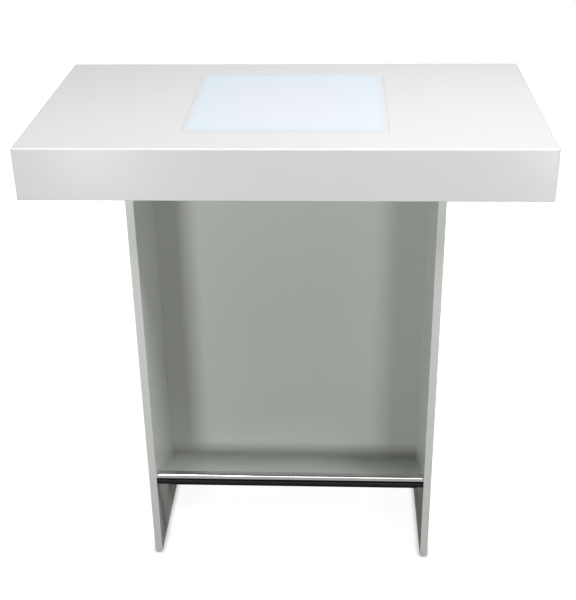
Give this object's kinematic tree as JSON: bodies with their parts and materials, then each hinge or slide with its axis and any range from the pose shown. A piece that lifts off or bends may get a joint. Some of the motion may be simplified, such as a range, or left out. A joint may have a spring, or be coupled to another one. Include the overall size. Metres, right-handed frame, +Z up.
{
  "type": "standing table",
  "caption": "Bar-height standing table: thick lacquered box top with a flush lit panel, on a panel pedestal with a ledge and foot rails.",
  "frame": {"origin": "on the floor under the middle of the top", "axes": "+Z up, -Y the pictured front, +X to the right seen from the front, along the width"},
  "size_m": [1.115, 0.63, 1.1],
  "materials": {
    "white_lacquer": "satin white lacquer on fibreboard",
    "raw_board": "raw fibreboard",
    "beech": "fluted beech dowel",
    "opal_acrylic": "opal acrylic, satin, lit from below",
    "white_sheet": "white coated sheet",
    "white_circuit_board": "white solder mask",
    "grey_plastic": "fine-grained moulding",
    "black_plastic": "fine-grained moulding",
    "black_sheath": "matt cable sheath",
    "chrome": "polished chrome plate",
    "zinced_steel": "bright zinc plate",
    "brass": "turned, plain"
  },
  "bodies": {
    "table": {"bottom_board": "white_lacquer", "centre_panel": "white_lacquer", "front_apron": "white_lacquer", "front_foot_rail": "chrome", "front_web": "raw_board", "glide_insert_front_left": "brass", "glide_insert_front_right": "brass", "glide_insert_rear_left": "brass", "glide_insert_rear_right": "brass", "inlet_lead": "black_sheath", "led_driver": "grey_plastic", "led_lead": "black_sheath", "led_plate": "white_sheet", "led_strip_1": "white_circuit_board", "led_strip_2": "white_circuit_board", "led_strip_3": "white_circuit_board", "led_strip_4": "white_circuit_board", "ledge_dowel_left_1": "beech", "ledge_dowel_left_2": "beech", "ledge_dowel_right_1": "beech", "ledge_dowel_right_2": "beech", "left_apron": "white_lacquer", "left_rib": "raw_board", "left_side_panel": "white_lacquer", "left_web": "raw_board", "panel_dowel_left_1": "beech", "panel_dowel_left_2": "beech", "panel_dowel_right_1": "beech", "panel_dowel_right_2": "beech", "power_inlet": "black_plastic", "rail_bolt_front_left": "zinced_steel", "rail_bolt_front_right": "zinced_steel", "rail_bolt_rear_left": "zinced_steel", "rail_bolt_rear_right": "zinced_steel", "rail_plug_front_left": "zinced_steel", "rail_plug_front_right": "zinced_steel", "rail_plug_rear_left": "zinced_steel", "rail_plug_rear_right": "zinced_steel", "rear_apron": "white_lacquer", "rear_foot_rail": "chrome", "rear_web": "raw_board", "right_apron": "white_lacquer", "right_rib": "raw_board", "right_side_panel": "white_lacquer", "right_web": "raw_board", "supply_lead": "black_sheath", "switch_housing": "black_plastic", "top_board": "white_lacquer", "top_screw_front_left": "zinced_steel", "top_screw_front_right": "zinced_steel", "top_screw_rear_left": "zinced_steel", "top_screw_rear_right": "zinced_steel", "underside_board": "white_lacquer"},
    "diffuser": {"diffuser_panel": "opal_acrylic"},
    "rocker": {"switch_rocker": "black_plastic"},
    "glide_front_left_body": {"glide_front_left": "black_plastic"},
    "glide_front_right_body": {"glide_front_right": "black_plastic"},
    "glide_rear_left_body": {"glide_rear_left": "black_plastic"},
    "glide_rear_right_body": {"glide_rear_right": "black_plastic"}
  },
  "joints": [
    {"name": "diffuser_lift", "type": "slide", "parent": "table", "child": "diffuser", "axis": [0, 0, 1], "range_m": [0, 0.12]},
    {"name": "rocker_tilt", "type": "hinge", "parent": "table", "child": "rocker", "pos_m": [0.085, 0.26185, 0.9889], "axis": [0, -1, 0], "range_deg": [0, 20]},
    {"name": "glide_front_left_level", "type": "slide", "parent": "table", "child": "glide_front_left_body", "axis": [0, 0, -1], "range_m": [0, 0.01]},
    {"name": "glide_front_right_level", "type": "slide", "parent": "table", "child": "glide_front_right_body", "axis": [0, 0, -1], "range_m": [0, 0.01]},
    {"name": "glide_rear_left_level", "type": "slide", "parent": "table", "child": "glide_rear_left_body", "axis": [0, 0, -1], "range_m": [0, 0.01]},
    {"name": "glide_rear_right_level", "type": "slide", "parent": "table", "child": "glide_rear_right_body", "axis": [0, 0, -1], "range_m": [0, 0.01]}
  ]
}
